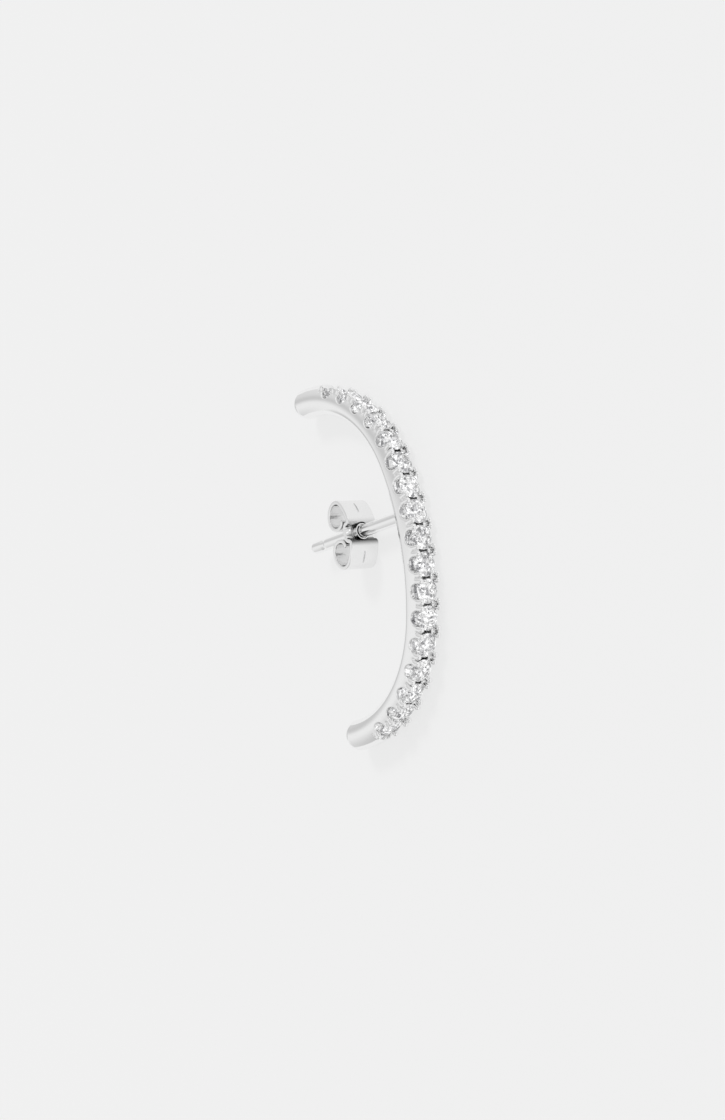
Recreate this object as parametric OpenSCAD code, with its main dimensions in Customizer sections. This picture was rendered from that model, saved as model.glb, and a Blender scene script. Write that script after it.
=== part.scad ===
/* [Bar] */
// Thickness of the round bar
bar_d = 2.0; // [1.9:0.05:2.1]
// Radius of the shallow bow in the middle, at the bar's centreline
bow_r = 17; // [15:0.5:19]
// Angle that each half of the bow turns through
bow_turn = 17; // [15:1:19]
// Radius of each hooked end, at the bar's centreline
hook_r = 8.7; // [8.3:0.1:9.2]
// Angle that each hooked end turns through
hook_turn = 70; // [67:1:73]

/* [Stones] */
// Number of stones in the row
stone_count = 17; // [15:2:17]
// Distance from one stone to the next, along the bar's centreline
stone_pitch = 1.575; // [1.56:0.005:1.59]
// Diameter of a stone at its girdle
stone_d = 1.54; // [1.5:0.01:1.56]
// Height of the girdle above the bar's centreline
girdle_up = 0.56; // [0.54:0.01:0.6]
// Width of the flat table, as a share of the stone's diameter
table_share = 0.57; // [0.54:0.01:0.6]
// Height of the crown, as a share of the diameter
crown_share = 0.15; // [0.14:0.005:0.16]
// Depth of the pavilion, as a share of the diameter
pavilion_share = 0.43; // [0.42:0.005:0.44]
// Thickness of the girdle
girdle_t = 0.04; // [0.03:0.01:0.05]

/* [Setting] */
// Height at which the bar is trimmed flat under the stones, above its centreline
trim_up = 0.5; // [0.46:0.01:0.52]
// Width of the round scallop cut across the bar at each stone
scallop_d = 1.0; // [0.94:0.02:1.04]
// Height of the scallop's middle above the bar's centreline
scallop_up = 0.62; // [0.6:0.01:0.66]
// Thickness of a prong
prong_d = 0.38; // [0.36:0.01:0.4]
// Distance of a prong's centre from the bar's middle plane
prong_side = 0.64; // [0.62:0.01:0.66]
// Distance between the two prongs that stand together between neighbouring stones
prong_split = 0.32; // [0.3:0.01:0.34]
// Height of the prong tips above the bar's centreline
prong_up = 0.88; // [0.86:0.01:0.92]
// Gap between a stone and the metal round it
stone_gap = 0.02; // [0.015:0.005:0.03]

/* [Post] */
// Thickness of the post
post_d = 0.8; // [0.75:0.05:0.85]
// Length of the post from the back of the bar to its tip
post_len = 9.6; // [9.4:0.1:10]
// Distance of the post from the middle of the bar, along the chord
post_up = 1.6; // [1.4:0.1:1.8]
// Length of the plain end beyond the notch
post_end = 1.2; // [1.1:0.1:1.4]
// Width of the notch
notch_w = 0.6; // [0.55:0.05:0.65]
// Depth of the notch
notch_depth = 0.06; // [0.05:0.01:0.08]

/* [Clutch] */
// Width of the strip, across the post
strip_w = 2.2; // [2.1:0.05:2.3]
// Thickness of the strip
strip_t = 0.26; // [0.24:0.01:0.28]
// Distance from the back of the bar to the front of the strip at its hole
strip_y = 4.43; // [4.2:0.05:4.5]
// Gap between the post and the hole round it
hole_gap = 0.04; // [0.03:0.01:0.05]
// Outer diameter of the collar drawn round the hole
collar_d = 1.06; // [1.04:0.02:1.08]
// Length of the collar in front of the strip
collar_len = 0.45; // [0.4:0.01:0.47]
// Gap between the collar and the wings on both sides of it
collar_gap = 0.07; // [0.06:0.01:0.08]
// Half the width of the flat between the two wings
flat_half = 0.2; // [0.18:0.01:0.22]

/* [Hidden] */
// Bends of one scroll, from the flat outward: radius at the strip's middle, and turn in degrees
BEND_R = 0;
BEND_TURN = 1;
WING_BENDS = [
    [0.38, -83],
    [0.17, 98],
    [3.3, 20.2],
    [0.67, 86.8],
    [1.05, 66],
    [0.7, 120],
    [0.3, 50]
];
BEND_STEPS = 8;

bar_r = bar_d / 2;
post_r = post_d / 2;
prong_r = prong_d / 2;
stone_r = stone_d / 2;
crown_h = crown_share * stone_d;
pavilion_h = pavilion_share * stone_d;
table_r = table_share * stone_r;
hole_r = post_r + hole_gap;
ball_r = bar_r + 0.004;
joint_gap = 0.05;

// Frame: X along the chord, Y along the post away from the bar, Z up as the earring lies.
// The origin is on the post's axis, level with the back of the bar at its middle.
bow_x = -post_up;
bow_y = bow_r - bar_r;
bow_len = bow_r * bow_turn * PI / 180;
hook_x = (bow_r - hook_r) * sin(bow_turn);
hook_y = (bow_r - hook_r) * cos(bow_turn);
end_turn = bow_turn + hook_turn;

// The earring lies on the bar and on the lower edge of the wider clutch, which leans it a little.
crest_y = strip_y - 0.48;
lean = asin((strip_w - bar_d) / 2 / (crest_y + bar_r));

prong_along = (stone_pitch - prong_split) / 2;

function stone_at(i) = (i - (stone_count - 1) / 2) * stone_pitch;
function stone_name(i) = str("stone_", i < 9 ? "0" : "", i + 1);

// Angle that the bar has turned through at a distance s along it from its middle.
function turn_at(s) = sign(s) * (abs(s) < bow_len
    ? abs(s) / bow_r * 180 / PI
    : bow_turn + (abs(s) - bow_len) / hook_r * 180 / PI);

// Place on the bar's centreline, from the middle of the bar, where it has turned through angle a.
function bar_place(a) = abs(a) < bow_turn
    ? [bow_r * sin(a), bow_r * (1 - cos(a))]
    : [sign(a) * (hook_x + hook_r * sin(abs(a))), bow_r - hook_y - hook_r * cos(a)];

// Stands the children on the bar at distance s: their Z points outward, their X along the bar.
module on_bar(s) {
    a = turn_at(s);
    p = bar_place(a);
    translate([bow_x + p[0], p[1] - bar_r, 0])
        rotate([0, 0, a])
            rotate([90, 0, 0])
                children();
}

// Lays the earring down on its side.
module lying() {
    rotate([lean, 0, 0]) children();
}

// Round rod of three arcs. A ball covers each place where arcs meet, and rounds off each end.
module rod() {
    joint_turn = joint_gap / 2 * 180 / PI;
    translate([bow_x, bow_y, 0])
        rotate([0, 0, -90 - bow_turn + joint_turn / bow_r])
            rotate_extrude(angle = 2 * (bow_turn - joint_turn / bow_r), $fn = 128)
                translate([bow_r, 0]) circle(r = bar_r, $fn = 48);
    for (side = [0, 1])
        translate([bow_x, bow_y, 0])
            mirror([side, 0, 0]) {
                translate([hook_x, -hook_y, 0])
                    rotate([0, 0, bow_turn - 90 + joint_turn / hook_r])
                        rotate_extrude(angle = hook_turn - joint_turn / hook_r, $fn = 128)
                            translate([hook_r, 0]) circle(r = bar_r, $fn = 48);
                for (a = [bow_turn, end_turn])
                    translate([bar_place(a)[0], bar_place(a)[1] - bow_r, 0])
                        sphere(r = ball_r, $fn = 48);
            }
}

// Flat under one stone: everything of the rod above trim_up goes.
module stone_flat() {
    half = 0.57 * stone_pitch;
    translate([-half, -bar_d, trim_up]) cube([2 * half, 2 * bar_d, bar_d]);
}

// Scallop cut across the rod, through which the side of the stone shows.
module scallop() {
    translate([0, 0, scallop_up])
        rotate([90, 0, 0])
            cylinder(d = scallop_d, h = 2 * bar_d, center = true, $fn = 48);
}

module prong() {
    straight = prong_up - prong_r;
    translate([0, 0, 0.25]) cylinder(r = prong_r, h = straight - 0.25, $fn = 24);
    translate([0, 0, straight]) sphere(r = prong_r, $fn = 24);
}

// The four prongs of one stone.
module prongs() {
    for (x = [-1, 1], y = [-1, 1])
        translate([x * prong_along, y * prong_side, 0])
            prong();
}

// Room for one stone: two cones and the girdle between them, a little larger than the stone.
module seat() {
    r = stone_r + stone_gap;
    low = pavilion_h + girdle_t / 2 + stone_gap;
    high = girdle_t / 2 + stone_gap;
    crown_rise = crown_h / (stone_r - table_r);
    translate([0, 0, girdle_up]) {
        translate([0, 0, -low]) cylinder(h = low - high, r1 = 0.02, r2 = r, $fn = 48);
        translate([0, 0, -high]) cylinder(h = 2 * high, r = r, $fn = 48);
        translate([0, 0, high]) cylinder(h = r * crown_rise * 0.9, r1 = r, r2 = r * 0.1, $fn = 48);
    }
}

// Straight post from the back half of the bar, clear of the stone above its root, with a
// round-bottomed notch and a rounded tip.
module post() {
    root_y = -bar_r / 2;
    notch_y = post_len - post_end - notch_w / 2;
    notch_round = (notch_w * notch_w / 4 + notch_depth * notch_depth) / (2 * notch_depth);
    rotate([-90, 0, 0]) {
        difference() {
            translate([0, 0, root_y]) cylinder(r = post_r, h = post_len - post_r - root_y, $fn = 48);
            translate([0, 0, notch_y])
                rotate_extrude($fn = 48)
                    translate([post_r - notch_depth + notch_round, 0])
                        circle(r = notch_round, $fn = 96);
        }
        translate([0, 0, post_len - post_r]) sphere(r = post_r, $fn = 48);
    }
}

module bar() {
    color("gainsboro")
        lying() {
            difference() {
                union() {
                    difference() {
                        rod();
                        for (i = [0:stone_count - 1])
                            on_bar(stone_at(i)) {
                                stone_flat();
                                scallop();
                            }
                    }
                    for (i = [0:stone_count - 1]) on_bar(stone_at(i)) prongs();
                }
                for (i = [0:stone_count - 1]) on_bar(stone_at(i)) seat();
            }
            post();
        }
}

// Ring of n points of radius r at height z, the first at angle a.
function ring(n, r, z, a) = [for (k = [0:n - 1]) [r * cos(a + k * 360 / n), r * sin(a + k * 360 / n), z]];

// Round brilliant: table, stars, bezels, upper halves, girdle, lower halves and pavilion mains.
module brilliant() {
    n = 8;
    half = 180 / n;
    star_r = 0.78 * stone_r;
    lower_r = 0.24 * stone_r;
    top = girdle_t / 2;
    star_z = top + crown_h * (stone_r - star_r * cos(half)) / (stone_r - table_r);
    lower_z = -top - pavilion_h * (stone_r - lower_r * cos(half)) / stone_r;
    points = concat(
        ring(n, table_r, top + crown_h, 0),
        ring(n, star_r, star_z, half),
        ring(2 * n, stone_r, top, 0),
        ring(2 * n, stone_r, -top, 0),
        ring(n, lower_r, lower_z, half),
        [[0, 0, -top - pavilion_h]]
    );
    star = n;
    upper = 2 * n;
    under = 4 * n;
    lower = 6 * n;
    culet = 7 * n;
    faces = concat(
        [[for (k = [n - 1:-1:0]) k]],
        [for (k = [0:n - 1]) [k, (k + 1) % n, star + k]],
        [for (k = [0:n - 1]) [k, star + k, upper + 2 * k, star + (k + n - 1) % n]],
        [for (k = [0:n - 1]) [star + k, upper + 2 * k + 1, upper + 2 * k]],
        [for (k = [0:n - 1]) [star + k, upper + (2 * k + 2) % (2 * n), upper + 2 * k + 1]],
        [for (k = [0:2 * n - 1]) [upper + k, upper + (k + 1) % (2 * n), under + (k + 1) % (2 * n), under + k]],
        [for (k = [0:n - 1]) [lower + k, under + 2 * k, under + 2 * k + 1]],
        [for (k = [0:n - 1]) [lower + k, under + 2 * k + 1, under + (2 * k + 2) % (2 * n)]],
        [for (k = [0:n - 1]) [culet, lower + (k + n - 1) % n, under + 2 * k, lower + k]]
    );
    polyhedron(points = points, faces = faces, convexity = 2);
}

module stone(i) {
    color("white")
        lying()
            on_bar(stone_at(i))
                translate([0, 0, girdle_up])
                    brilliant();
}

// Heading and place of the strip's middle after each step: [x, y, heading].
function walk(at, radius, turn, steps) = steps == 0
    ? []
    : let (
        step = abs(turn) * PI / 180 * radius / steps,
        bend = turn / steps,
        mid = at[2] + bend / 2,
        next = [at[0] + step * cos(mid), at[1] + step * sin(mid), at[2] + bend]
    )
    concat([next], walk(next, radius, turn - bend, steps - 1));

function wing(at, k) = k == len(WING_BENDS)
    ? []
    : let (
        steps = ceil(BEND_STEPS * abs(WING_BENDS[k][BEND_TURN]) / 90) + 2,
        part = walk(at, WING_BENDS[k][BEND_R], WING_BENDS[k][BEND_TURN], steps)
    )
    concat(part, wing(part[len(part) - 1], k + 1));

// Outline of one half of the strip, seen along its width.
module wing_outline() {
    start = [flat_half, strip_y + strip_t / 2, 0];
    middle = concat([[-0.05, start[1], 0], start], wing(start, 0));
    outer = [for (p = middle) [p[0] + strip_t / 2 * sin(p[2]), p[1] - strip_t / 2 * cos(p[2])]];
    inner = [for (p = middle) [p[0] - strip_t / 2 * sin(p[2]), p[1] + strip_t / 2 * cos(p[2])]];
    last = len(inner) - 1;
    polygon(concat(outer, [for (k = [last:-1:0]) inner[k]]));
}

// The whole strip, bent in two scrolls.
module wings() {
    for (side = [0, 1])
        mirror([side, 0, 0])
            translate([0, 0, -strip_w / 2])
                linear_extrude(strip_w)
                    wing_outline();
}

module clutch() {
    color("lightgray")
        lying()
            difference() {
                union() {
                    difference() {
                        wings();
                        translate([0, strip_y - 2, 0])
                            rotate([-90, 0, 0])
                                cylinder(d = collar_d + 2 * collar_gap, h = 2, $fn = 48);
                    }
                    translate([0, strip_y - collar_len, 0])
                        rotate([-90, 0, 0])
                            cylinder(d = collar_d, h = collar_len + strip_t, $fn = 48);
                }
                translate([0, strip_y - 2, 0])
                    rotate([-90, 0, 0])
                        cylinder(r = hole_r, h = 5, $fn = 48);
            }
}

bar();
clutch();
for (i = [0:stone_count - 1])
    stone(i);
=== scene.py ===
# %% [markdown]
# # A curved bar earring with a row of stones
#
# The earring is a bowed round rod with hooked ends. Seventeen round stones sit in a scalloped
# row along its outside, a straight post stands at its back, and a butterfly clutch slides on
# the post. It lies on its side on a pale floor.
#
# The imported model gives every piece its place. This lesson dresses it: it makes finer metal to
# the same sizes, then finishes, light and a camera. Lengths in the cells are in millimetres,
# because that is how a jeweller measures, and become metres when a mesh is made.

import math

import bpy
import numpy as np
from mathutils import Matrix, Vector


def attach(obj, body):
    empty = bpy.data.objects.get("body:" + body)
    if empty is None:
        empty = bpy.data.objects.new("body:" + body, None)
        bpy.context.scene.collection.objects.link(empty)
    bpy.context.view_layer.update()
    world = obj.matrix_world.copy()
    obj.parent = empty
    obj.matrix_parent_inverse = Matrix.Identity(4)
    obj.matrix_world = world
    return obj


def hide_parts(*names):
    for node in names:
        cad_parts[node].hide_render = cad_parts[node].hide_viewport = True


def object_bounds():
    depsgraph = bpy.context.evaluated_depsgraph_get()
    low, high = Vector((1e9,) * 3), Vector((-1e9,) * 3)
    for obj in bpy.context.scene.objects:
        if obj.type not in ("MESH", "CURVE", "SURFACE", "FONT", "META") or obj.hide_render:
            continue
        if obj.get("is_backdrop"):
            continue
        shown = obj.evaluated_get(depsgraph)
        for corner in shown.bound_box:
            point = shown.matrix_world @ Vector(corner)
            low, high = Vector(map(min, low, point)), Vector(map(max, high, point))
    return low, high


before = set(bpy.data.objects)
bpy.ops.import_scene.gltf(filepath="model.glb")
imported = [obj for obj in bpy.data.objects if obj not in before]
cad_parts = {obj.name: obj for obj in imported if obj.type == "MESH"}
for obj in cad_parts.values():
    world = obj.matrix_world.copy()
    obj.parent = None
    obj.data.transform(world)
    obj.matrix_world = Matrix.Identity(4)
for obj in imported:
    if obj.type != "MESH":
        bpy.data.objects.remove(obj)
cad_box = [list(corner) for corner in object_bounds()]
MM = 0.001
stones = sorted(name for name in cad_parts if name.startswith("stone_"))

# %% [markdown]
# ## The camera
#
# The picture looks down on the lying earring from the side of the stones, close enough for the
# nearer end to look larger. A camera could be dragged into place by eye. Here it is worked out
# from what it looks at, two angles, a distance and a roll, so that each can be read and changed.

# %% Camera
look_at = Vector((-1.761, 4.654, 0)) * MM
camera_azimuth = math.radians(-8.96)
camera_elevation = math.radians(36.185)
camera_distance = 77.484 * MM
camera_roll = math.radians(9.204)
view_height = math.radians(49.667)

towards_camera = Vector((
    math.sin(camera_azimuth) * math.cos(camera_elevation),
    -math.cos(camera_azimuth) * math.cos(camera_elevation),
    math.sin(camera_elevation),
))
chord = Vector((1, 0, 0))
chord_seen = (chord - chord.dot(towards_camera) * towards_camera).normalized()
image_up = Matrix.Rotation(-camera_roll, 3, towards_camera) @ chord_seen
image_right = image_up.cross(towards_camera)

camera_data = bpy.data.cameras.new("camera")
camera_data.sensor_fit = "VERTICAL"
camera_data.sensor_height = 36
camera_data.lens = camera_data.sensor_height / 2 / math.tan(view_height / 2)
camera_data.clip_start = MM
camera = bpy.data.objects.new("camera", camera_data)
bpy.context.scene.collection.objects.link(camera)
axes = Matrix((image_right, image_up, towards_camera)).transposed()
camera_at = look_at + towards_camera * camera_distance
camera.matrix_world = Matrix.Translation(camera_at) @ axes.to_4x4()
bpy.context.scene.camera = camera
print("camera at", [round(x / MM, 2) for x in camera_at], "mm, lens", round(camera_data.lens, 2))
print("picture's right", [round(x, 4) for x in image_right], "up", [round(x, 4) for x in image_up])

# %% [markdown]
# ## The line that the bar follows
#
# The rod's middle line is three arcs: a shallow bow, and a tighter hook at each end. A place in
# the metal is easiest to name by how far along that line it is (s), how far to the side (v) and
# how far outward (h). One function turns such a place into a point, and another turns a point
# back, so the bent row can be drawn as if it were straight.

# %% Bar line
bar_r = 1.0
bow_r = 17.0
bow_turn = math.radians(17)
hook_r = 8.7
hook_turn = math.radians(70)
post_up = 1.6
strip_w = 2.2
strip_y = 4.43
crest_reach = 0.48

bow_x = -post_up
bow_y = bow_r - bar_r
bow_len = bow_r * bow_turn
end_turn = bow_turn + hook_turn
bar_half = bow_len + hook_r * hook_turn
hook_x = (bow_r - hook_r) * math.sin(bow_turn)
hook_y = bow_y - (bow_r - hook_r) * math.cos(bow_turn)
lean = math.asin((strip_w / 2 - bar_r) / (strip_y - crest_reach + bar_r))


def turned(s):
    """Angle that the bar has turned through at the length s along it."""
    bow = np.abs(s) / bow_r
    hook = bow_turn + (np.abs(s) - bow_len) / hook_r
    return np.sign(s) * np.minimum(np.where(np.abs(s) < bow_len, bow, hook), end_turn)


def line_frame(s):
    """Point, direction along, and direction outward of the bar's middle line at the length s."""
    a = turned(s)
    bend = np.abs(a)
    in_bow = bend < bow_turn
    x = np.where(in_bow, bow_r * np.sin(bend), hook_x + hook_r * np.sin(bend)) * np.sign(s)
    y = np.where(in_bow, bow_y - bow_r * np.cos(bend), hook_y - hook_r * np.cos(bend))
    flat = np.zeros_like(a)
    along = np.stack([np.cos(a), np.sin(a), flat], -1)
    outward = np.stack([np.sin(a), -np.cos(a), flat], -1)
    past = np.sign(s) * np.maximum(np.abs(s) - bar_half, 0)
    return np.stack([bow_x + x, y, flat], -1) + past[..., None] * along, along, outward


def from_line(places):
    """Points of the places (s, v, h)."""
    middle, _, outward = line_frame(places[:, 0])
    points = middle + places[:, 2:] * outward
    points[:, 2] += places[:, 1]
    return points


def to_line(points):
    """How far along the bar each point is, and how far outward of its middle line."""
    x = points[:, 0] - bow_x
    side = np.where(x < 0, -1.0, 1.0)
    angle = np.arctan2(np.abs(x), bow_y - points[:, 1])
    hook_dx = np.abs(x) - hook_x
    hook_dy = hook_y - points[:, 1]
    hook_angle = np.arctan2(hook_dx, hook_dy)
    end_dx = hook_dx - hook_r * math.sin(end_turn)
    end_dy = points[:, 1] - (hook_y - hook_r * math.cos(end_turn))
    past = end_dx * math.cos(end_turn) + end_dy * math.sin(end_turn)
    beyond = (past > 0) & (angle > bow_turn)
    in_bow = angle < bow_turn
    s = np.where(in_bow, angle * bow_r, bow_len + (hook_angle - bow_turn) * hook_r)
    bow_h = np.hypot(x, bow_y - points[:, 1]) - bow_r
    h = np.where(in_bow, bow_h, np.hypot(hook_dx, hook_dy) - hook_r)
    s = np.where(beyond, bar_half + past, s)
    h = np.where(beyond, end_dx * math.sin(end_turn) - end_dy * math.cos(end_turn), h)
    return side * s, h


def laid_down(points):
    """The points with the earring on its side, where the wider clutch leans it a little."""
    x, y, z = points.T
    c, s = math.cos(lean), math.sin(lean)
    return np.stack([x, y * c - z * s, y * s + z * c], -1)


trial = np.array([[-15.0, 0.3, 0.2], [-4.0, 0, 0.9], [0.5, 0.1, -0.4], [12.0, 0, 0.8],
                  [16.1, 0, 0.1]])
back = np.stack(to_line(from_line(trial)), -1)
error = np.abs(back - trial[:, ::2]).max()
print("bar line:", round(2 * bar_half, 2), "mm; there and back to within", error)

# %% [markdown]
# ## Metal as a distance
#
# Cast and polished metal has no hard corners: where a prong grows out of the rod, the metal
# flows. Cutting meshes with each other leaves knife edges, and remeshing them leaves ripples
# that a mirror finish shows at once.
#
# Another way is to describe the metal by one function that says how far any point is from its
# surface, below zero inside. Two shapes join, or one is cut from another, with a rounded corner
# of a chosen size. A net of four-sided faces is then laid where the function changes sign, and
# each corner of the net is moved onto the surface exactly. The function's slope gives the true
# normals, so a coarse net still shines like a smooth rod.

# %% Distance tools
def join(a, b, k):
    """The nearer of two shapes, with a fillet of about k where they meet."""
    blend = np.clip(0.5 + 0.5 * (b - a) / k, 0, 1)
    return b + (a - b) * blend - k * blend * (1 - blend)


def cut(a, b, k):
    """Shape a without shape b, with an edge rounded by about k."""
    return -join(-a, b, k)


def slope(distance, points, reach=1e-3):
    """How fast the distance grows in each direction."""
    steps = np.eye(3) * reach
    rises = [distance(points + step) - distance(points - step) for step in steps]
    return np.stack(rises, -1) / (2 * reach)


def settle(distance, points, most, rounds=5):
    """Moves the points onto the surface, no further than most in one round."""
    least_slope = 0.05
    for _ in range(rounds):
        grad = slope(distance, points)
        step = -distance(points) / np.maximum((grad ** 2).sum(1), least_slope)
        move = np.clip(step, -most, most)[:, None] * grad
        points = points + move
    return points


def net(distance, ticks, place=lambda p: p):
    """Points and four-sided faces round the places where the distance is below zero.

    ticks are the grid's marks along its three directions, and place turns grid marks to points.
    """
    grid = np.stack(np.meshgrid(*ticks, indexing="ij"), -1)
    value = distance(place(grid.reshape(-1, 3))).reshape(grid.shape[:3])
    inside = value < 0
    cells = tuple(n - 1 for n in value.shape)
    total = np.zeros(cells + (3,))
    count = np.zeros(cells)

    def part(array, axis, start, stop):
        kept = [slice(None)] * array.ndim
        kept[axis] = slice(start, stop)
        return array[tuple(kept)]

    crossings = []
    for axis in range(3):
        low, high = part(value, axis, 0, -1), part(value, axis, 1, None)
        crosses = part(inside, axis, 0, -1) != part(inside, axis, 1, None)
        share = np.where(crosses, low / np.where(crosses, low - high, 1), 0)[..., None]
        point = part(grid, axis, 0, -1) * (1 - share) + part(grid, axis, 1, None) * share
        point = point * crosses[..., None]
        crossings.append(crosses)
        b, c = (axis + 1) % 3, (axis + 2) % 3
        for db in (0, 1):
            for dc in (0, 1):
                total += part(part(point, b, db, db + cells[b]), c, dc, dc + cells[c])
                count += part(part(crosses, b, db, db + cells[b]), c, dc, dc + cells[c])
    used = count > 0
    index = np.full(cells, -1)
    index[used] = np.arange(used.sum())
    points = place(total[used] / count[used][:, None])
    faces = []
    for axis in range(3):
        b, c = (axis + 1) % 3, (axis + 2) % 3
        middle = part(part(crossings[axis], b, 1, -1), c, 1, -1)
        first_inside = part(part(part(inside, axis, 0, -1), b, 1, -1), c, 1, -1)[middle]
        corners = [part(part(index, b, db, db + cells[b] - 1), c, dc, dc + cells[c] - 1)[middle]
                   for db, dc in ((0, 0), (1, 0), (1, 1), (0, 1))]
        quads = np.stack(corners, -1)
        faces.append(np.where(first_inside[:, None], quads, quads[:, ::-1]))
    return points, np.concatenate(faces)


def mark_painted_shade(piece, depth):
    """Stores on each point how deep it lies in a fold or gap, as a mask for painted shade."""
    layer = piece.data.attributes.new("painted_fold_shade", "FLOAT", "POINT")
    layer.data.foreach_set("value", depth.astype(np.float32))
    print(piece.name, "has", int((depth > 0.5).sum()), "points deep in a fold")


def mesh_piece(name, points, faces, normals, body, slot, *nodes):
    """A piece from points and faces in mm, laid on its side, that stands for the nodes."""
    mesh = bpy.data.meshes.new(name)
    mesh.from_pydata((laid_down(points) * MM).tolist(), [], faces.tolist())
    mesh.validate()
    mesh.shade_smooth()
    if normals is not None:
        mesh.normals_split_custom_set_from_vertices(laid_down(normals).tolist())
    piece = bpy.data.objects.new(name, mesh)
    bpy.context.scene.collection.objects.link(piece)
    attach(piece, body)
    if nodes:
        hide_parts(*nodes)
    mesh.calc_loop_triangles()
    print(name, "has", len(mesh.vertices), "points and", len(mesh.loop_triangles), "triangles")
    return piece


def soft_step(value, low, high):
    """0 below low, 1 above high and a smooth rise between them."""
    share = np.clip((value - low) / (high - low), 0, 1)
    return share * share * (3 - 2 * share)


def cast_piece(name, distance, points, faces, cell, body, slot, *nodes):
    """A piece whose net is settled onto the distance's surface and takes its normals from it."""
    points = settle(distance, points, cell)
    grad = slope(distance, points)
    normals = grad / np.linalg.norm(grad, axis=1, keepdims=True)
    off = np.abs(distance(points)).max()
    print(name, "lies within", round(float(off), 4), "mm of its surface")
    return mesh_piece(name, points, faces, normals, body, slot, *nodes), points


# %% [markdown]
# ## The bar and its setting
#
# On the real bar the row is cut from the rod itself. The rod is trimmed flat under the stones,
# a round scallop is cut across it at each stone so that light reaches the stone's side, and
# the metal left between two scallops carries four small prongs with round tips, two for each
# neighbour. A small pit is sunk between those four, and each stone drops into a cone-shaped
# seat. The function below says just that, with the sizes of the imported model, apart from the
# prongs, which stand a hair taller and further out.
#
# The pits look nearly black on the real bar, because little light comes back out of them. How
# deep each point lies in a pit is kept on the mesh, and painted shade darkens the finish by it.

# %% Bar and setting
stone_count = 17
stone_pitch = 1.575
stone_r = 0.77
girdle_up = 0.56
crown_h = 0.3 * stone_r
pavilion_h = 0.86 * stone_r
table_r = 0.57 * stone_r
girdle_t = 0.04
trim_up = 0.5
trim_past_last = 0.57
trim_half = ((stone_count - 1) / 2 + trim_past_last) * stone_pitch
scallop_r = 0.5
scallop_up = 0.62
prong_r = 0.19
prong_side = 0.68
prong_split = 0.32
prong_along = (stone_pitch - prong_split) / 2
prong_up = 0.95
stone_gap = 0.02
prong_root = 0.1
pit_along = 0.2
pit_side = 0.37
pit_floor = 0.1
pit_rim = 0.05
pit_fade = 0.25
pit_reach = 0.4
trim_fillet = 0.06
prong_fillet = 0.08
pit_fillet = 0.04
seat_fillet = 0.02
far_off = 9.0


def seat_room(radius, up):
    """Distance to the room that one stone takes: cone, girdle and cone, a little larger."""
    wide = stone_r + stone_gap
    below = pavilion_h + girdle_t / 2 + stone_gap
    lean_low = math.atan2(below, wide)
    lean_high = math.atan2(crown_h, stone_r - table_r)
    low = radius * math.sin(lean_low) - (up + below) * math.cos(lean_low)
    over_girdle = up - girdle_t / 2 - stone_gap
    high = (radius - wide) * math.sin(lean_high) + over_girdle * math.cos(lean_high)
    return np.maximum(np.maximum(low, high), radius - wide)


def pit_outline(s, v):
    """Distance, seen from above, to the nearest pit between two stones."""
    along = np.abs((s / stone_pitch) % 1 - 0.5) * stone_pitch - pit_along
    past_row = np.abs(s) - (stone_count - 1) / 2 * stone_pitch
    return np.maximum(np.maximum(along, np.abs(v) - pit_side), past_row)


def pit_shade_mask(points):
    """How deep each point lies in a pit between two stones, from 0 to 1: a painted shade mask."""
    s, h = to_line(points)
    inside = soft_step(-pit_outline(s, points[:, 2]), -pit_rim, 0.0)
    return inside * soft_step(trim_up - h, 0.0, pit_fade) * (h > pit_floor - pit_reach)


def bar_metal(points):
    """Distance to the metal of the bar: rod, trimmed row, scallops, prongs and seats."""
    s, h = to_line(points)
    v = points[:, 2]
    rod = np.sqrt(h ** 2 + v ** 2 + np.maximum(np.abs(s) - bar_half, 0) ** 2) - bar_r
    trim = np.maximum(trim_up - h, np.abs(s) - trim_half)
    scallop = np.full_like(s, far_off)
    seat = np.full_like(s, far_off)
    prongs = np.full_like(s, far_off)
    last = (stone_count - 1) // 2
    pit = np.maximum(pit_outline(s, v), pit_floor - h)
    for nearest in (np.floor(s / stone_pitch), np.ceil(s / stone_pitch)):
        middle, along, outward = line_frame(np.clip(nearest, -last, last) * stone_pitch)
        a = ((points - middle) * along).sum(1)
        up = ((points - middle) * outward).sum(1)
        scallop = np.minimum(scallop, np.hypot(a, up - scallop_up) - scallop_r)
        seat = np.minimum(seat, seat_room(np.hypot(a, v), up - girdle_up))
        to_prong = np.hypot(np.abs(a) - prong_along, np.abs(v) - prong_side)
        above = np.maximum(up - (prong_up - prong_r), 0)
        prong = np.maximum(np.hypot(to_prong, above) - prong_r, prong_root - up)
        prongs = np.minimum(prongs, prong)
    metal = cut(rod, trim, trim_fillet)
    metal = cut(metal, scallop, trim_fillet)
    metal = join(metal, prongs, prong_fillet)
    metal = cut(metal, pit, pit_fillet)
    return cut(metal, seat, seat_fillet)


print("stones cover", round(stone_count * stone_pitch, 2), "mm of the bar's line")

# %% [markdown]
# The net's cells are small where the setting is. In the plain back half of the rod they are
# twice as deep, because its normals come from the function and it needs no more.

# %% Bar mesh
cell = 0.057
room_round = 1.1
room_beside = 1.08
back_ends = -0.1
front_starts = -0.08
s_ticks = np.arange(-bar_half - room_round, bar_half + room_round + cell, cell)
v_ticks = np.linspace(-room_beside, room_beside, 2 * round(room_beside / cell) + 1)
back_ticks = np.arange(-room_round, back_ends, 2 * cell)
h_ticks = np.concatenate([back_ticks, np.arange(front_starts, room_round, cell)])
points, faces = net(bar_metal, (s_ticks, v_ticks, h_ticks), from_line)
bar, points = cast_piece("bar_and_setting", bar_metal, points, faces, cell,
                         "earring", "bar_metal", "bar")
# The pits' depth goes on the bar's points as the mask of painted shade.
mark_painted_shade(bar, pit_shade_mask(points))

# %% [markdown]
# ## The post
#
# The post is a drawn wire soldered into the back of the bar, with a shallow turned notch near
# its rounded tip for the clutch to catch in. A wire is round, so its side line is drawn once
# and turned about the post's axis, as on a lathe.

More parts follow.
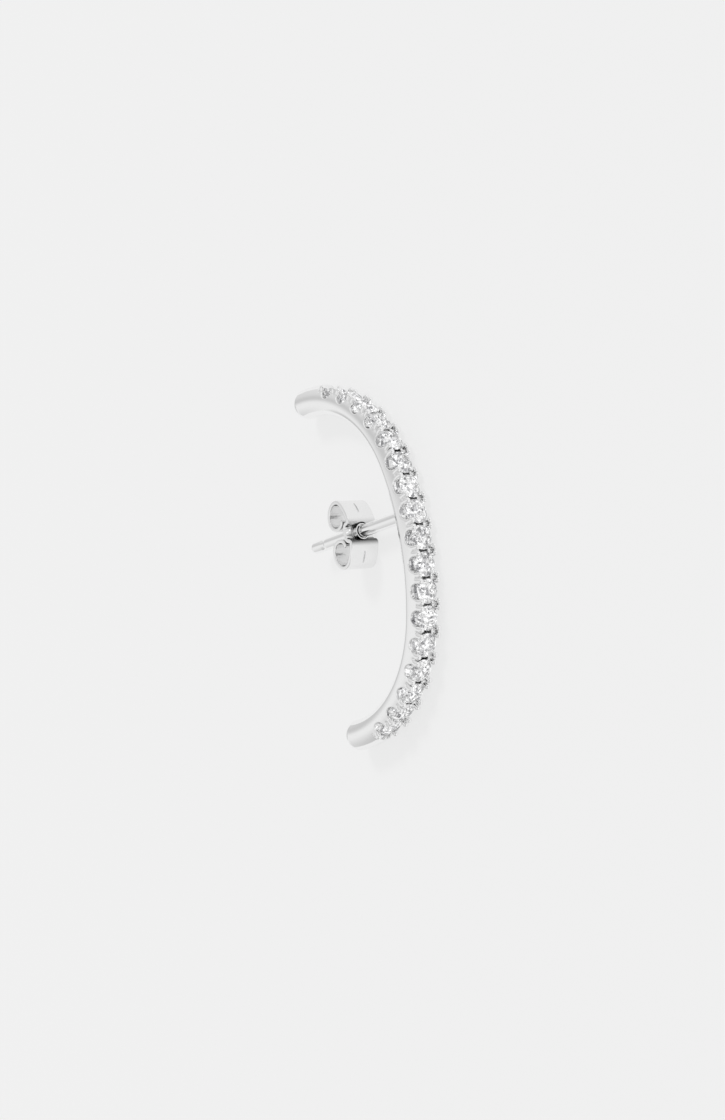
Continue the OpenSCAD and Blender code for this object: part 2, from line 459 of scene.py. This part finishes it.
# %% Post
post_r = 0.4
post_len = 9.6
notch_w = 0.6
notch_depth = 0.06
notch_from_tip = 1.2
notch_at = post_len - notch_from_tip - notch_w / 2
post_root = -0.35
solder_r = 0.16
solder_sunk = 0.02
straight_from = 0.4


def post_profile():
    """Radius and distance from the bar's back, from inside the bar to the tip."""
    line = [(post_r + solder_r, post_root)]
    for angle in np.linspace(0, math.pi / 2, 9):
        radius = post_r + solder_r * (1 - math.sin(angle))
        line.append((radius, solder_r * (1 - math.cos(angle)) - solder_sunk))
    line.extend((post_r, y) for y in np.linspace(straight_from, notch_at - notch_w / 2, 10))
    for share in np.linspace(-1, 1, 13)[1:-1]:
        dip = notch_depth * 0.5 * (1 + math.cos(math.pi * share))
        line.append((post_r - dip, notch_at + share * notch_w / 2))
    line.extend((post_r, y) for y in np.linspace(notch_at + notch_w / 2, post_len - post_r, 3))
    for angle in np.linspace(0, math.pi / 2, 13)[1:]:
        line.append((post_r * math.cos(angle), post_len - post_r + post_r * math.sin(angle)))
    return np.array(line)


def turned_about_post(profile, around=48):
    """Points and faces of a profile (radius, y) turned about the post's axis."""
    angles = np.arange(around) * 2 * math.pi / around
    radius, y = profile[:, 0], profile[:, 1]
    points = np.stack([radius[:, None] * np.cos(angles), np.repeat(y[:, None], around, 1),
                       radius[:, None] * np.sin(angles)], -1).reshape(-1, 3)
    rings = np.arange(len(profile) - 1)[:, None] * around
    here = np.arange(around)[None]
    after = (here + 1) % around
    above = rings + around
    faces = np.stack([rings + here, above + here, above + after, rings + after], -1)
    return points, faces.reshape(-1, 4)


points, faces = turned_about_post(post_profile())
post = mesh_piece("post", points, faces, None, "earring", "bar_metal")

# %% [markdown]
# ## The butterfly clutch
#
# The clutch is one strip of sheet metal. Its middle is pierced and drawn into a short collar
# for the post, and each half is bent forward, round and back in a scroll whose end presses on
# the post. A row of bends, each a radius and a turn in degrees, gives the strip's line. The
# distance to that line, less half the sheet, is the sheet, and the collar joins it with a soft
# drawn lip. The trough between the two wings is marked for painted shade, as the bar's pits
# are, with the painted shade on the lower wing darker than on the upper.

# %% Clutch
strip_t = 0.26
hole_gap = 0.04
hole_r = post_r + hole_gap
collar_r = 0.53
collar_len = 0.45
collar_gap = 0.07
flat_half = 0.2
edge_round = 0.07
mark_span = (0.45, 1.0)
mark_r = 0.05
mark_fillet = 0.03
gap_fillet = 0.04
collar_fillet = 0.03
bore_fillet = 0.02
bore_past = 0.3
wing_bends = [(0.38, -83), (0.17, 98), (3.3, 20.2), (0.67, 86.8), (1.05, 66), (0.7, 120),
              (0.3, 50)]


def placed_bends():
    """The bends of one wing as centre, radius, first angle and turn, and the wing's end."""
    x, y, heading = flat_half, strip_y + strip_t / 2, 0.0
    placed = []
    for radius, degrees in wing_bends:
        turn = math.radians(degrees)
        across = math.copysign(radius, turn)
        centre_x, centre_y = x - across * math.sin(heading), y + across * math.cos(heading)
        placed.append((centre_x, centre_y, radius, math.atan2(y - centre_y, x - centre_x), turn))
        heading += turn
        x, y = centre_x + across * math.sin(heading), centre_y - across * math.cos(heading)
    return placed, (x, y)


bends, wing_end = placed_bends()
wing_len = flat_half + sum(radius * abs(turn) for _, _, radius, _, turn in bends)
print("strip before bending:", round(2 * wing_len, 2), "mm long and", strip_w, "mm wide")

# %% Clutch distance
def to_wing(x, y):
    """Distance from each point to the middle line of the wing: its flat, its bends and its end."""
    tiny = 1e-6
    nearest = np.hypot(np.maximum(x - flat_half, 0), y - strip_y - strip_t / 2)
    for centre_x, centre_y, radius, first, turn in bends:
        dx, dy = x - centre_x, y - centre_y
        passed = np.mod((np.arctan2(dy, dx) - first) * math.copysign(1, turn) + tiny, 2 * math.pi)
        off = np.abs(np.hypot(dx, dy) - radius)
        nearest = np.where(passed < abs(turn) + 2 * tiny, np.minimum(nearest, off), nearest)
    return np.minimum(nearest, np.hypot(x - wing_end[0], y - wing_end[1]))


def pressed_mark(x, y, z):
    """Distance to the short line pressed into the front of each wing."""
    centre_x, centre_y, radius, first, turn = bends[2]
    reach = radius + strip_t / 2
    starts, stops = [first + turn * share for share in mark_span]
    x0, y0 = centre_x + reach * math.cos(starts), centre_y + reach * math.sin(starts)
    x1, y1 = centre_x + reach * math.cos(stops), centre_y + reach * math.sin(stops)
    dx, dy = x1 - x0, y1 - y0
    share = np.clip(((x - x0) * dx + (y - y0) * dy) / (dx * dx + dy * dy), 0, 1)
    return np.hypot(np.hypot(x - x0 - share * dx, y - y0 - share * dy), z) - mark_r


def clutch_metal(points):
    """Distance to the clutch: the bent strip, its drawn collar and the hole through them."""
    x, y, z = points.T
    flat = to_wing(np.abs(x), y) - strip_t / 2 + edge_round
    wide = np.abs(z) - strip_w / 2 + edge_round
    sheet = np.hypot(np.maximum(flat, 0), np.maximum(wide, 0)) - edge_round
    sheet = sheet + np.minimum(np.maximum(flat, wide), 0)
    radius = np.hypot(x, z)
    sheet = cut(sheet, pressed_mark(np.abs(x), y, z), mark_fillet)
    sheet = cut(sheet, np.maximum(radius - collar_r - collar_gap, y - strip_y), gap_fillet)
    lip = (collar_r - hole_r) / 2
    to_lip = np.hypot(radius - hole_r - lip, np.maximum(strip_y - collar_len + lip - y, 0)) - lip
    collar = np.maximum(to_lip, y - strip_y - strip_t / 2)
    metal = join(sheet, collar, collar_fillet)
    bore = np.maximum(radius - hole_r, y - strip_y - strip_t - bore_past)
    return cut(metal, bore, bore_fillet)


to_metal = float(clutch_metal(np.array([[0.0, strip_y, 0.0]]))[0])
print("the hole's middle is", round(to_metal, 2), "mm clear of the metal")

# %% Clutch mesh
# Where the painted shade in the trough between the wings starts and fades.
skin = 0.05
fold_clear = 0.04
fold_starts = (0.3, 0.42)
lower_ends = (0.5, 0.98)
upper_ends = (0.4, 0.95)
# The upper wing gets only this share of the trough's painted shade.
upper_shade_share = 0.35


def trough_shade_mask(points):
    """Painted shade by depth in the trough between the wings, from 0 past its crests to 1."""
    x, y, z = points.T
    side = np.abs(x)
    (wall_x, wall_y, wall_r), (crest_x, crest_y, crest_r) = bends[0][:3], bends[1][:3]
    to_wall = np.hypot(side - wall_x, y - wall_y)
    to_crest = np.hypot(side - crest_x, y - crest_y)
    faces_trough = (to_wall < wall_r - skin) | ((y < crest_y) & (to_crest > crest_r + skin))
    past_collar = np.hypot(x, z) > collar_r + fold_clear
    on_sheet = (np.abs(z) < strip_w / 2 - fold_clear) & past_collar
    deep = soft_step(side, *fold_starts)
    lower = deep * (1 - soft_step(side, *lower_ends))
    upper = upper_shade_share * deep * (1 - soft_step(side, *upper_ends))
    return np.where(faces_trough & on_sheet, np.where(x < 0, lower, upper), 0.0)


clutch_cell = 0.037
clutch_room = ((-2.36, 2.37), (3.86, 6.3), (-1.17, 1.18))
ticks = [np.arange(low, high, clutch_cell) for low, high in clutch_room]
points, faces = net(clutch_metal, ticks)
clutch, points = cast_piece("clutch_sheet", clutch_metal, points, faces, clutch_cell,
                            "back", "clutch_metal", "clutch")
# The trough's depth is stored on the clutch's points for its painted shade.
mark_painted_shade(clutch, trough_shade_mask(points))

# %% [markdown]
# ## Finishes
#
# The metal is a white alloy with a mirror polish. A perfect mirror looks like computer work, so
# it gets the hair-fine lines that a polishing wheel leaves, which only show in the gloss. Its
# colour also gets painted shade: less shine in narrow corners, and dark folds where light hardly
# comes. They could be painted on by hand. As node groups they are made once, and the bar and the
# clutch each set their own amounts.

# %% Node helpers
def new_group(name, inputs, outputs):
    """An empty node group with named sockets, and its input and output nodes."""
    group = bpy.data.node_groups.new(name, "ShaderNodeTree")
    for label, kind, value in inputs:
        socket = group.interface.new_socket(label, in_out="INPUT", socket_type=kind)
        socket.default_value = value
    for label, kind in outputs:
        group.interface.new_socket(label, in_out="OUTPUT", socket_type=kind)
    return group, group.nodes.new("NodeGroupInput"), group.nodes.new("NodeGroupOutput")


def grey(level):
    """A colour socket's value for one level of grey."""
    return level, level, level, 1


def colour_mix(tree):
    """Sockets of a new mix of two colours: the second's share, first, second and result."""
    mix = tree.nodes.new("ShaderNodeMix")
    mix.data_type = "RGBA"
    return mix.inputs["Factor"], mix.inputs[6], mix.inputs[7], mix.outputs[2]


print("a mid grey:", grey(0.5))

# %% Polish lines
def polish_lines():
    """Fine lines from a polishing wheel: a height for a bump, and a change of roughness."""
    group, given, out = new_group(
        "polish_lines",
        [("Lines per mm", "NodeSocketFloat", 14.0), ("Stretch", "NodeSocketFloat", 0.08),
         ("Roughness", "NodeSocketFloat", 0.08), ("Roughness change", "NodeSocketFloat", 0.03)],
        [("Height", "NodeSocketFloat"), ("Roughness", "NodeSocketFloat")],
    )
    node, link = group.nodes.new, group.links.new
    place = node("ShaderNodeTexCoord")
    squeeze = node("ShaderNodeMapping")
    along = node("ShaderNodeCombineXYZ")
    along.inputs["Y"].default_value = 1
    along.inputs["Z"].default_value = 1
    per_metre = node("ShaderNodeMath")
    per_metre.operation = "DIVIDE"
    per_metre.inputs[1].default_value = MM
    lines = node("ShaderNodeTexNoise")
    lines.inputs["Detail"].default_value = 3
    haze = node("ShaderNodeTexNoise")
    haze.inputs["Scale"].default_value = 0.6 / MM
    haze.inputs["Detail"].default_value = 2
    spread = node("ShaderNodeMath")
    spread.operation = "MULTIPLY_ADD"
    link(given.outputs["Stretch"], along.inputs["X"])
    link(along.outputs[0], squeeze.inputs["Scale"])
    link(place.outputs["Object"], squeeze.inputs["Vector"])
    link(given.outputs["Lines per mm"], per_metre.inputs[0])
    link(per_metre.outputs[0], lines.inputs["Scale"])
    link(squeeze.outputs[0], lines.inputs["Vector"])
    link(place.outputs["Object"], haze.inputs["Vector"])
    link(haze.outputs["Fac"], spread.inputs[0])
    link(given.outputs["Roughness change"], spread.inputs[1])
    link(given.outputs["Roughness"], spread.inputs[2])
    link(lines.outputs["Fac"], out.inputs["Height"])
    link(spread.outputs[0], out.inputs["Roughness"])
    return group


polish_lines_group = polish_lines()
print("group:", polish_lines_group.name, "with", len(polish_lines_group.nodes), "nodes")

# %% Corner shade
def corner_shade():
    """Painted shade: colour darkened in narrow corners, and more in the folds marked on the mesh.
    """
    group, given, out = new_group(
        "corner_shade",
        [("Open colour", "NodeSocketColor", grey(0.9)),
         ("Painted corner shade", "NodeSocketColor", grey(0.4)),
         ("Painted fold shade", "NodeSocketColor", grey(0.1)), ("Reach", "NodeSocketFloat", 0.2 * MM),
         ("Closed", "NodeSocketFloat", 0.35), ("Open", "NodeSocketFloat", 0.9)],
        [("Colour", "NodeSocketColor")],
    )
    node, link = group.nodes.new, group.links.new
    # Painted shade: the colour darkens where ambient occlusion finds the metal closed in.
    open_sky = node("ShaderNodeAmbientOcclusion")
    open_sky.samples = 8
    open_sky.only_local = True
    openness = node("ShaderNodeMapRange")
    openness.interpolation_type = "SMOOTHSTEP"
    # Painted shade in the folds, by the depth stored on the mesh.
    fold = node("ShaderNodeAttribute")
    fold.attribute_name = "painted_fold_shade"
    in_open, corner, sky_seen, shaded = colour_mix(group)
    in_fold, unfolded, folded, colour = colour_mix(group)
    link(given.outputs["Reach"], open_sky.inputs["Distance"])
    link(given.outputs["Closed"], openness.inputs["From Min"])
    link(given.outputs["Open"], openness.inputs["From Max"])
    link(open_sky.outputs["AO"], openness.inputs["Value"])
    link(openness.outputs["Result"], in_open)
    link(given.outputs["Painted corner shade"], corner)
    link(given.outputs["Open colour"], sky_seen)
    link(fold.outputs["Fac"], in_fold)
    link(shaded, unfolded)
    link(given.outputs["Painted fold shade"], folded)
    link(colour, out.inputs["Colour"])
    return group


corner_shade_group = corner_shade()
print("group:", corner_shade_group.name, "with", len(corner_shade_group.nodes), "nodes")

# %% Metal finishes
def white_metal(name, open_grey, corner_shade_grey, fold_shade_grey, reach, roughness, lines, bump):
    """A polished white metal: painted shade in corners and folds, and polish lines in its gloss.
    """
    finish = bpy.data.materials.new(name)
    finish.use_nodes = True
    node, link = finish.node_tree.nodes.new, finish.node_tree.links.new
    shader = finish.node_tree.nodes["Principled BSDF"]
    shader.inputs["Metallic"].default_value = 1
    shade = node("ShaderNodeGroup")
    shade.node_tree = corner_shade_group
    shade.inputs["Open colour"].default_value = grey(open_grey)
    shade.inputs["Painted corner shade"].default_value = grey(corner_shade_grey)
    shade.inputs["Painted fold shade"].default_value = grey(fold_shade_grey)
    shade.inputs["Reach"].default_value = reach * MM
    polish = node("ShaderNodeGroup")
    polish.node_tree = polish_lines_group
    polish.inputs["Roughness"].default_value = roughness
    polish.inputs["Lines per mm"].default_value = lines
    relief = node("ShaderNodeBump")
    relief.inputs["Strength"].default_value = bump
    relief.inputs["Distance"].default_value = 0.002 * MM
    link(shade.outputs["Colour"], shader.inputs["Base Color"])
    link(polish.outputs["Roughness"], shader.inputs["Roughness"])
    link(polish.outputs["Height"], relief.inputs["Height"])
    link(relief.outputs["Normal"], shader.inputs["Normal"])
    return finish


# Each metal's painted shade: its grey in corners and its grey in folds.
bar_finish = white_metal("mirror_white_metal", open_grey=0.95, corner_shade_grey=0.92, fold_shade_grey=0.35,
                         reach=0.2, roughness=0.07, lines=16, bump=0.2)
clutch_finish = white_metal("sheet_white_metal", open_grey=0.92, corner_shade_grey=0.3, fold_shade_grey=0.06,
                            reach=0.25, roughness=0.1, lines=22, bump=0.3)
for piece, finish in ((bar, bar_finish), (post, bar_finish), (clutch, clutch_finish)):
    piece.data.materials.append(finish)
print("metal finishes:", bar_finish.name, clutch_finish.name)

# %% [markdown]
# ## The stones
#
# A cut stone is clear, and what shows in it is the room, broken by its facets into small chips
# of light and dark. The imported stones carry all the facets of a round brilliant, so they are
# kept, with a glass that bends light hard. Painted reflections bring the chips back: in a
# pattern of small cells, a few are tinted dark, and some glow a little.

# %% Stone finish
bends_light = 2.4
chips_per_mm = 6.5
# Painted reflections: a share of cells tinted dark, and a share that glow.
dark_share = (0.28, 0.34)
painted_dark_tint = (0.12, 0.12, 0.13, 1)
bright_share = (0.55, 0.7)
painted_chip_glow = 0.23


def cut_stone(name):
    """A clear brilliant: glass that bends light hard, with painted dark and glowing facet flashes.
    """
    finish = bpy.data.materials.new(name)
    finish.use_nodes = True
    node, link = finish.node_tree.nodes.new, finish.node_tree.links.new
    shader = finish.node_tree.nodes["Principled BSDF"]
    shader.inputs["Transmission Weight"].default_value = 1
    shader.inputs["IOR"].default_value = bends_light
    shader.inputs["Roughness"].default_value = 0
    shader.inputs["Emission Color"].default_value = grey(1)
    place = node("ShaderNodeTexCoord")
    chips = node("ShaderNodeTexVoronoi")
    chips.inputs["Scale"].default_value = chips_per_mm / MM
    toss = node("ShaderNodeSeparateColor")
    dark = node("ShaderNodeMapRange")
    dark.inputs["From Min"].default_value = dark_share[0]
    dark.inputs["From Max"].default_value = dark_share[1]
    bright = node("ShaderNodeMapRange")
    bright.inputs["From Min"].default_value = bright_share[0]
    bright.inputs["From Max"].default_value = bright_share[1]
    bright.inputs["To Max"].default_value = painted_chip_glow
    clear, dark_tint, no_tint, tint = colour_mix(finish.node_tree)
    dark_tint.default_value = painted_dark_tint
    no_tint.default_value = grey(1)
    link(place.outputs["Object"], chips.inputs["Vector"])
    link(chips.outputs["Color"], toss.inputs["Color"])
    link(toss.outputs["Red"], dark.inputs["Value"])
    link(toss.outputs["Green"], bright.inputs["Value"])
    link(dark.outputs["Result"], clear)
    link(tint, shader.inputs["Base Color"])
    link(bright.outputs["Result"], shader.inputs["Emission Strength"])
    return finish


stone_finish = cut_stone("clear_brilliant")
for name in stones:
    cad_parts[name].material_slots[0].material = stone_finish
print("stone finish:", stone_finish.name, "on", len(stones), "stones")

# %% [markdown]
# ## The floor
#
# The earring lies on white paper so evenly lit that it keeps hardly any shadow. A white floor
# under lamps would need many of them. A floor that gives off most of its own light, and takes
# only a little from the room, has the same even tone and still keeps a faint shadow. It reaches
# 12 metres each way, so that its far edge stays out of low views.

# %% Floor
floor_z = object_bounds()[0].z
floor_half = 12
floor_takes = 0.15
floor_gives = 0.722
floor_mesh = bpy.data.meshes.new("floor")
quarters = ((-1, -1), (1, -1), (1, 1), (-1, 1))
corners = [(x * floor_half, y * floor_half, floor_z) for x, y in quarters]
floor_mesh.from_pydata(corners, [], [(0, 1, 2, 3)])
floor = bpy.data.objects.new("floor", floor_mesh)
bpy.context.scene.collection.objects.link(floor)
floor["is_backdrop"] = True

paper = bpy.data.materials.new("pale_paper")
paper.use_nodes = True
paper_shader = paper.node_tree.nodes["Principled BSDF"]
paper_shader.inputs["Base Color"].default_value = grey(floor_takes)
paper_shader.inputs["Emission Color"].default_value = grey(1)
paper_shader.inputs["Emission Strength"].default_value = floor_gives
paper_shader.inputs["Roughness"].default_value = 0.9
paper_shader.inputs["Specular IOR Level"].default_value = 0.1
floor_mesh.materials.append(paper)
print("floor at z =", round(floor_z / MM, 3), "mm")

# %% [markdown]
# ## The room
#
# Polished metal shows only what stands round it, so the room is what paints this earring. Area
# lamps and cards could stand round it as in a studio. Here they are painted on the world: bands
# of grey along the bar's length, then patches for two bright windows, the dark round the
# camera and a dim card behind the post. Each is a direction, a size and a level, so each can be
# moved without anything else changing. Where the camera looks past the floor it sees none of
# this, only the paper's own tone.

# %% Room tools
room = bpy.data.worlds.new("soft_white_room")
bpy.context.scene.world = room
room.use_nodes = True
tree = room.node_tree
facing = tree.nodes.new("ShaderNodeTexCoord").outputs["Generated"]


def patch(direction, wide, soft):
    """A mask: 1 within the angle wide of a direction, fading to 0 over the angle soft."""
    dot = tree.nodes.new("ShaderNodeVectorMath")
    dot.operation = "DOT_PRODUCT"
    dot.inputs[1].default_value = Vector(direction).normalized()
    fade = tree.nodes.new("ShaderNodeMapRange")
    fade.interpolation_type = "SMOOTHSTEP"
    fade.inputs["From Min"].default_value = math.cos(math.radians(wide + soft))
    fade.inputs["From Max"].default_value = math.cos(math.radians(wide))
    tree.links.new(facing, dot.inputs[0])
    tree.links.new(dot.outputs["Value"], fade.inputs["Value"])
    return fade.outputs["Result"]


def painted(light, mask, level):
    """The light with a patch of another level over it."""
    mix = tree.nodes.new("ShaderNodeMix")
    mix.inputs["B"].default_value = level
    tree.links.new(mask, mix.inputs["Factor"])
    tree.links.new(light, mix.inputs["A"])
    return mix.outputs["Result"]


def bearing(azimuth, elevation):
    """A direction from its angles in degrees: azimuth 0 is +Y and 90 is +X."""
    a, e = math.radians(azimuth), math.radians(elevation)
    return math.sin(a) * math.cos(e), math.cos(a) * math.cos(e), math.sin(e)


print("straight up is", [round(x, 3) for x in bearing(0, 90)])

# %% Room
band_levels = [(-0.94, 0.45), (-0.35, 0.87), (0.06, 0.86), (0.17, 0.77), (0.30, 0.60),
               (0.42, 0.58), (0.60, 0.70), (1.0, 0.80)]
patches = {
    "wall behind the camera": ((0, -1, 0.1), 40, 30, 0.75),
    "dark round the camera": (towards_camera, 7, 12, 0.3),
    "upper window": (bearing(146, 8), 8, 5, 1.4),
    "lower window": (bearing(218, 6), 8, 5, 1.4),
    "dim card behind the post": ((0.08, 1, 0.03), 6, 12, 0.58),
}
backdrop = 0.87
parts = tree.nodes.new("ShaderNodeSeparateXYZ")
tree.links.new(facing, parts.inputs[0])
across = tree.nodes.new("ShaderNodeMapRange")
across.inputs["From Min"].default_value = -1
tree.links.new(parts.outputs["X"], across.inputs["Value"])
bands = tree.nodes.new("ShaderNodeValToRGB")
bands.color_ramp.interpolation = "B_SPLINE"
while len(bands.color_ramp.elements) < len(band_levels):
    bands.color_ramp.elements.new(0.5)
for stop, (x, level) in zip(bands.color_ramp.elements, band_levels):
    stop.position = (x + 1) / 2
    stop.color = grey(level)
tree.links.new(across.outputs["Result"], bands.inputs["Fac"])
light = bands.outputs["Color"]
for direction, wide, soft, level in patches.values():
    light = painted(light, patch(direction, wide, soft), level)
seen_directly = tree.nodes.new("ShaderNodeLightPath").outputs["Is Camera Ray"]
light = painted(light, seen_directly, backdrop)
tree.links.new(light, tree.nodes["Background"].inputs["Color"])
print("room:", len(tree.nodes), "nodes, with", ", ".join(patches))

# %% [markdown]
# ## The lamp
#
# The stones and the paper want a little light from one side, which the even room doesn't give.
# A bright patch painted on the room would also show in the metal as a hard white spot. A wide
# sun lamp, hidden from reflections, lights only what is matt or clear.

# %% High side light
lamp_from = Vector(bearing(97, 45))
lamp = bpy.data.lights.new("high_side_light", "SUN")
lamp.energy = 1.1
lamp.angle = math.radians(14)
high_side_light = bpy.data.objects.new("high_side_light", lamp)
high_side_light.rotation_euler = lamp_from.to_track_quat("Z", "Y").to_euler()
high_side_light.visible_glossy = False
bpy.context.scene.collection.objects.link(high_side_light)
bpy.context.scene.view_settings.view_transform = "Standard"
print("lamp:", lamp.name, "of strength", round(lamp.energy, 2))

# %% [markdown]
# ## Last checks
#
# The dressed earring has to be as large as the imported model, so how far its box lies from the
# imported one is printed, corner by corner. The taller prongs reach 0.07 mm past the imported
# box, and the rest agrees with it to within 0.01 mm.

# %% Sizes
dressed_box = [list(corner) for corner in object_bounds()]
differences = [[round((b - a) / MM, 3) for a, b in zip(*pair)]
               for pair in zip(cad_box, dressed_box)]
print("off the packed box by, in mm:", differences)
